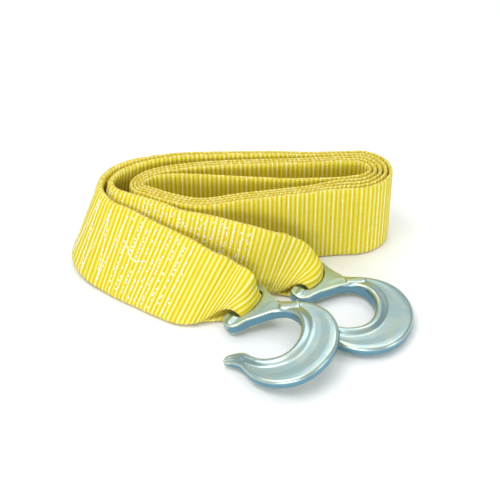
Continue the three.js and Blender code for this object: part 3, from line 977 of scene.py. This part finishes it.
# The camera that was fitted to the photo: degrees above the level, metres away, pixels
CAMERA_LIFT = 39.5
CAMERA_REACH = 0.84
FOCAL, FRAME = 1368.8, 500
SENSOR = 36
FLOOR_REACH = 3.0
HORIZON, DUSK, ZENITH = (0.9, 0.97, 1.0, 1.0), (0.36, 0.41, 0.43, 1.0), (1.0, 1.0, 1.0, 1.0)
WHITE, COOL = (1, 1, 1), (0.85, 0.93, 1.0)
# name, place and target and size in metres, share of the key light's power, colour
LIGHTS = [
    ("key", (-0.35, -0.15, 0.9), (0, 0, 0.02), (0.7, 0.5), 1.0, WHITE),
    ("top", (0.15, 0.45, 0.8), (0.02, 0, 0.02), (0.8, 0.3), 0.5, WHITE),
    ("side", (0.8, -0.35, 0.35), (0.02, 0, 0.02), (0.3, 0.4), 0.3, COOL),
    ("front", (-0.1, -0.95, 0.3), (0, 0, 0.03), (0.7, 0.3), 0.9, WHITE),
]


def soft_light(name, place, target, size, power, colour):
    data = bpy.data.lights.new(name, "AREA")
    data.shape, data.size, data.size_y = "RECTANGLE", size[0], size[1]
    data.energy, data.color = power, colour
    lamp = bpy.data.objects.new(name, data)
    lamp.location = place
    lamp.rotation_euler = (Vector(target) - Vector(place)).to_track_quat("-Z", "Y").to_euler()
    bpy.context.scene.collection.objects.link(lamp)


class TOWSTRAP_OT_stage(bpy.types.Operator):
    """Sets the pale floor, the soft light and the camera"""

    bl_idname = "tow_strap.stage"
    bl_label = "Stage"

    def execute(self, context):
        look = context.scene.tow_stage
        mesh = bpy.data.meshes.new("floor")
        r = FLOOR_REACH
        mesh.from_pydata([(-r, -r, 0), (r, -r, 0), (r, r, 0), (-r, r, 0)], [], [(0, 1, 2, 3)])
        floor = placed("floor", mesh)
        floor.data.materials.append(floor_material(look))

        world = bpy.data.worlds.new("sky")
        world.use_nodes = True
        back = next(n for n in world.node_tree.nodes if n.type == "BACKGROUND")
        make = Nodes(world.node_tree)
        way = make.add("ShaderNodeTexCoord").outputs["Generated"]
        height = make.add("ShaderNodeSeparateXYZ", {0: way}).outputs[2]
        low_sky = make.mix(make.ramp(height, 0.1, 0.45), HORIZON, DUSK)
        sky = make.mix(make.ramp(height, 0.72, 0.95), low_sky, ZENITH)
        make.feed(back, {"Color": sky, "Strength": look.sky})
        context.scene.world = world

        for name, place, target, size, share, colour in LIGHTS:
            soft_light(name, place, target, size, look.key * share, colour)

        aim = SHIFT * MM
        lift = math.radians(CAMERA_LIFT)
        back_off, rise = CAMERA_REACH * math.cos(lift), CAMERA_REACH * math.sin(lift)
        camera = bpy.data.objects.new("camera", bpy.data.cameras.new("camera"))
        context.scene.collection.objects.link(camera)
        camera.data.sensor_width = SENSOR
        camera.data.lens = SENSOR * FOCAL / FRAME
        camera.location = (aim[0], aim[1] - back_off, aim[2] + rise)
        camera.rotation_euler = (math.pi / 2 - lift, 0, 0)
        camera.data.dof.use_dof = False
        context.scene.camera = camera
        context.scene.view_settings.view_transform = "Standard"
        return {"FINISHED"}


class TOWSTRAP_OT_webbing(bpy.types.Operator):
    """Winds the ribbed webbing and lays its loops round the bars"""

    bl_idname = "tow_strap.webbing"
    bl_label = "Webbing"

    def execute(self, context):
        sizes = context.scene.tow_webbing
        strips = webbing_strips(sizes.rib_pitch / MM)
        mesh = strip_mesh("webbing", [
            (strips["run"], FACE_PLACES),
            (strips["near"], LOOP_PLACES),
            (strips["far"], LOOP_PLACES),
        ])
        webbing = placed("webbing", mesh)
        tree, sockets = rib_tree()
        grown(webbing, tree, {
            sockets["Rib Pitch"]: sizes.rib_pitch,
            sockets["Rib Height"]: sizes.rib_height,
            sockets["Material"]: webbing_material(sizes),
        })
        webbing.data.shade_smooth()
        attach(webbing, "strap")
        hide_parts("strap")
        return {"FINISHED"}


STAND_OUT = 0.16               # how far a stitch's middle is off the cloth
# The zigzag on the near end's outer face: where it starts, one full wave, its halves,
# the stitches of a half, the edges that it keeps to, and the size of a stitch in radii
ZIG_FROM, ZIG_WAVE, ZIG_HALVES, ZIG_STITCHES = 64, 12.0, 9, 15
ZIG_EDGES = (0.1, 0.9)
ZIG_SIZE = (4.4, 1.15, 0.7)
# Rows of dots across the webbing: how far the first is from the end, the gap to the next,
# then the span and step of the places across, how uneven they are and what share is kept
NEAR_DOTS = {
    "rows": 9, "start": 20, "gap": 5.0, "span": (0.08, 0.93), "step": 0.047,
    "uneven": 0.006, "kept": 0.8, "spread": 0.35, "size": (2.7, 1.5, 0.7),
}
FAR_DOTS = {
    "rows": 26, "start": 22, "gap": 4.1, "span": (0.06, 0.95), "step": 0.045,
    "uneven": 0.008, "kept": 0.72, "spread": 0.6, "size": (2.5, 1.5, 0.7),
}
# A loose tail of thread that lies on the near end: distance along, place across
LOOSE_TAIL = [(61, 0.35), (57, 0.41), (54, 0.48), (50, 0.5), (44, 0.46)]
TAIL_SIZE = (2.2, 1.1, 1.1)


def stitch_rows(strips, seed):
    """Places of the stitches: point, out, ahead and size in radii, one row each."""
    rng = np.random.default_rng(seed)
    run_strip = strips["run"]
    total = run_strip.along[-1]
    found = []

    def lay(s, place, turn, size, face, from_end):
        """Stitches at distances s from one end, turned from the webbing's run."""
        where = total - s if from_end else s
        p, out, ahead, side = run_strip.at(where, place, face)
        turn = np.broadcast_to(turn, len(p))[:, None]
        line = ahead * np.cos(turn) + side * np.sin(turn)
        scale = np.broadcast_to(size, (len(p), 3))
        found.append(np.hstack([p + out * STAND_OUT, out, line, scale]))

    def dots(face, from_end, rows, start, gap, span, step, uneven, kept, spread, size):
        for k in range(rows):
            w = np.arange(*span, step)
            w = w + rng.normal(0, uneven, len(w))
            keep = rng.random(len(w)) < kept
            s = start + k * gap + rng.normal(0, spread, keep.sum())
            lay(s, w[keep], math.pi / 2, size, face, from_end)

    low, high = ZIG_EDGES
    for k in range(ZIG_HALVES):
        a, b = ZIG_FROM + k * ZIG_WAVE / 2, ZIG_FROM + (k + 1) * ZIG_WAVE / 2
        w = np.linspace(low, high, ZIG_STITCHES)
        s = a + (b - a) * (w - low) / (high - low)
        if k % 2:
            w = w[::-1]
        slope = math.atan2((w[1] - w[0]) * WIDTH, s[1] - s[0])
        lay(s + rng.normal(0, 0.15, ZIG_STITCHES), w, slope, ZIG_SIZE, 1, False)
    dots(1, False, **NEAR_DOTS)
    dots(-1, True, **FAR_DOTS)
    fine = spline(np.array(LOOSE_TAIL) * (1, WIDTH), np.linspace(0, 1, 40))
    slope = np.arctan2(np.gradient(fine[:, 1]), np.gradient(fine[:, 0]))
    lay(fine[:, 0], fine[:, 1] / WIDTH, slope, TAIL_SIZE, 1, False)
    return np.vstack(found)


class TOWSTRAP_OT_stitching(bpy.types.Operator):
    """Sews the white stitches into the doubled ends"""

    bl_idname = "tow_strap.stitching"
    bl_label = "Stitching"

    def execute(self, context):
        sizes = context.scene.tow_stitch
        strips = webbing_strips(context.scene.tow_webbing.rib_pitch / MM)
        rows = stitch_rows(strips, sizes.seed)
        mesh = bpy.data.meshes.new("stitching")
        mesh.from_pydata((rows[:, :3] * MM).tolist(), [], [])
        for name, part in (("out", rows[:, 3:6]), ("ahead", rows[:, 6:9]), ("size", rows[:, 9:12])):
            attribute = mesh.attributes.new(name, "FLOAT_VECTOR", "POINT")
            attribute.data.foreach_set("vector", part.astype(np.float32).ravel())
        stitching = placed("stitching", mesh)
        tree, sockets = stitch_tree()
        grown(stitching, tree, {
            sockets["Thread Radius"]: sizes.radius,
            sockets["Material"]: thread_material(sizes),
        })
        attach(stitching, "strap")
        return {"FINISHED"}


class TOWSTRAP_OT_hooks(bpy.types.Operator):
    """Forges and plates the two slip hooks"""

    bl_idname = "tow_strap.hooks"
    bl_label = "Hooks"

    def execute(self, context):
        sizes = context.scene.tow_hook
        zinc = zinc_material(sizes)
        first = forged_hook("near_slip_hook", sizes)
        shade_attributes(first.data)
        second = placed("far_slip_hook", first.data.copy())
        for hook, place in ((first, NEAR), (second, FAR)):
            matrix = Matrix.Scale(MM, 4) @ Matrix.Translation(SHIFT) @ hook_matrix(place)
            hook.data.transform(matrix)
            hook.data.materials.clear()
            hook.data.materials.append(zinc)
            hook.data.shade_smooth()
            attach(hook, place["body"])
            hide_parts(place["body"])
        return {"FINISHED"}


class TOWSTRAP_PT_panel(bpy.types.Panel):
    """Lists the sizes and the pieces of the tow strap"""

    bl_idname = "TOWSTRAP_PT_panel"
    bl_label = "Tow strap"
    bl_space_type = "VIEW_3D"
    bl_region_type = "UI"
    bl_category = "Tow strap"

    def draw(self, context):
        for kind, operator in (
            ("tow_stage", TOWSTRAP_OT_stage), ("tow_webbing", TOWSTRAP_OT_webbing),
            ("tow_stitch", TOWSTRAP_OT_stitching), ("tow_hook", TOWSTRAP_OT_hooks),
        ):
            box = self.layout.box()
            sizes = getattr(context.scene, kind)
            for name in sizes.bl_rna.properties.keys():
                if name not in {"rna_type", "name"}:
                    box.prop(sizes, name)
            box.operator(operator.bl_idname)


GROUPS = {
    "tow_webbing": TowWebbingSizes,
    "tow_stitch": TowStitchSizes,
    "tow_hook": TowHookSizes,
    "tow_stage": TowStageLook,
}
CLASSES = (
    *GROUPS.values(),
    TOWSTRAP_OT_stage,
    TOWSTRAP_OT_webbing,
    TOWSTRAP_OT_stitching,
    TOWSTRAP_OT_hooks,
    TOWSTRAP_PT_panel,
)


def register():
    for kind in CLASSES:
        bpy.utils.register_class(kind)
    for name, kind in GROUPS.items():
        setattr(bpy.types.Scene, name, bpy.props.PointerProperty(type=kind))


def unregister():
    for name in GROUPS:
        delattr(bpy.types.Scene, name)
    for kind in reversed(CLASSES):
        bpy.utils.unregister_class(kind)


def main():
    register()
    bpy.ops.tow_strap.stage()
    bpy.ops.tow_strap.webbing()
    bpy.ops.tow_strap.stitching()
    bpy.ops.tow_strap.hooks()


if __name__ == "__main__":
    main()
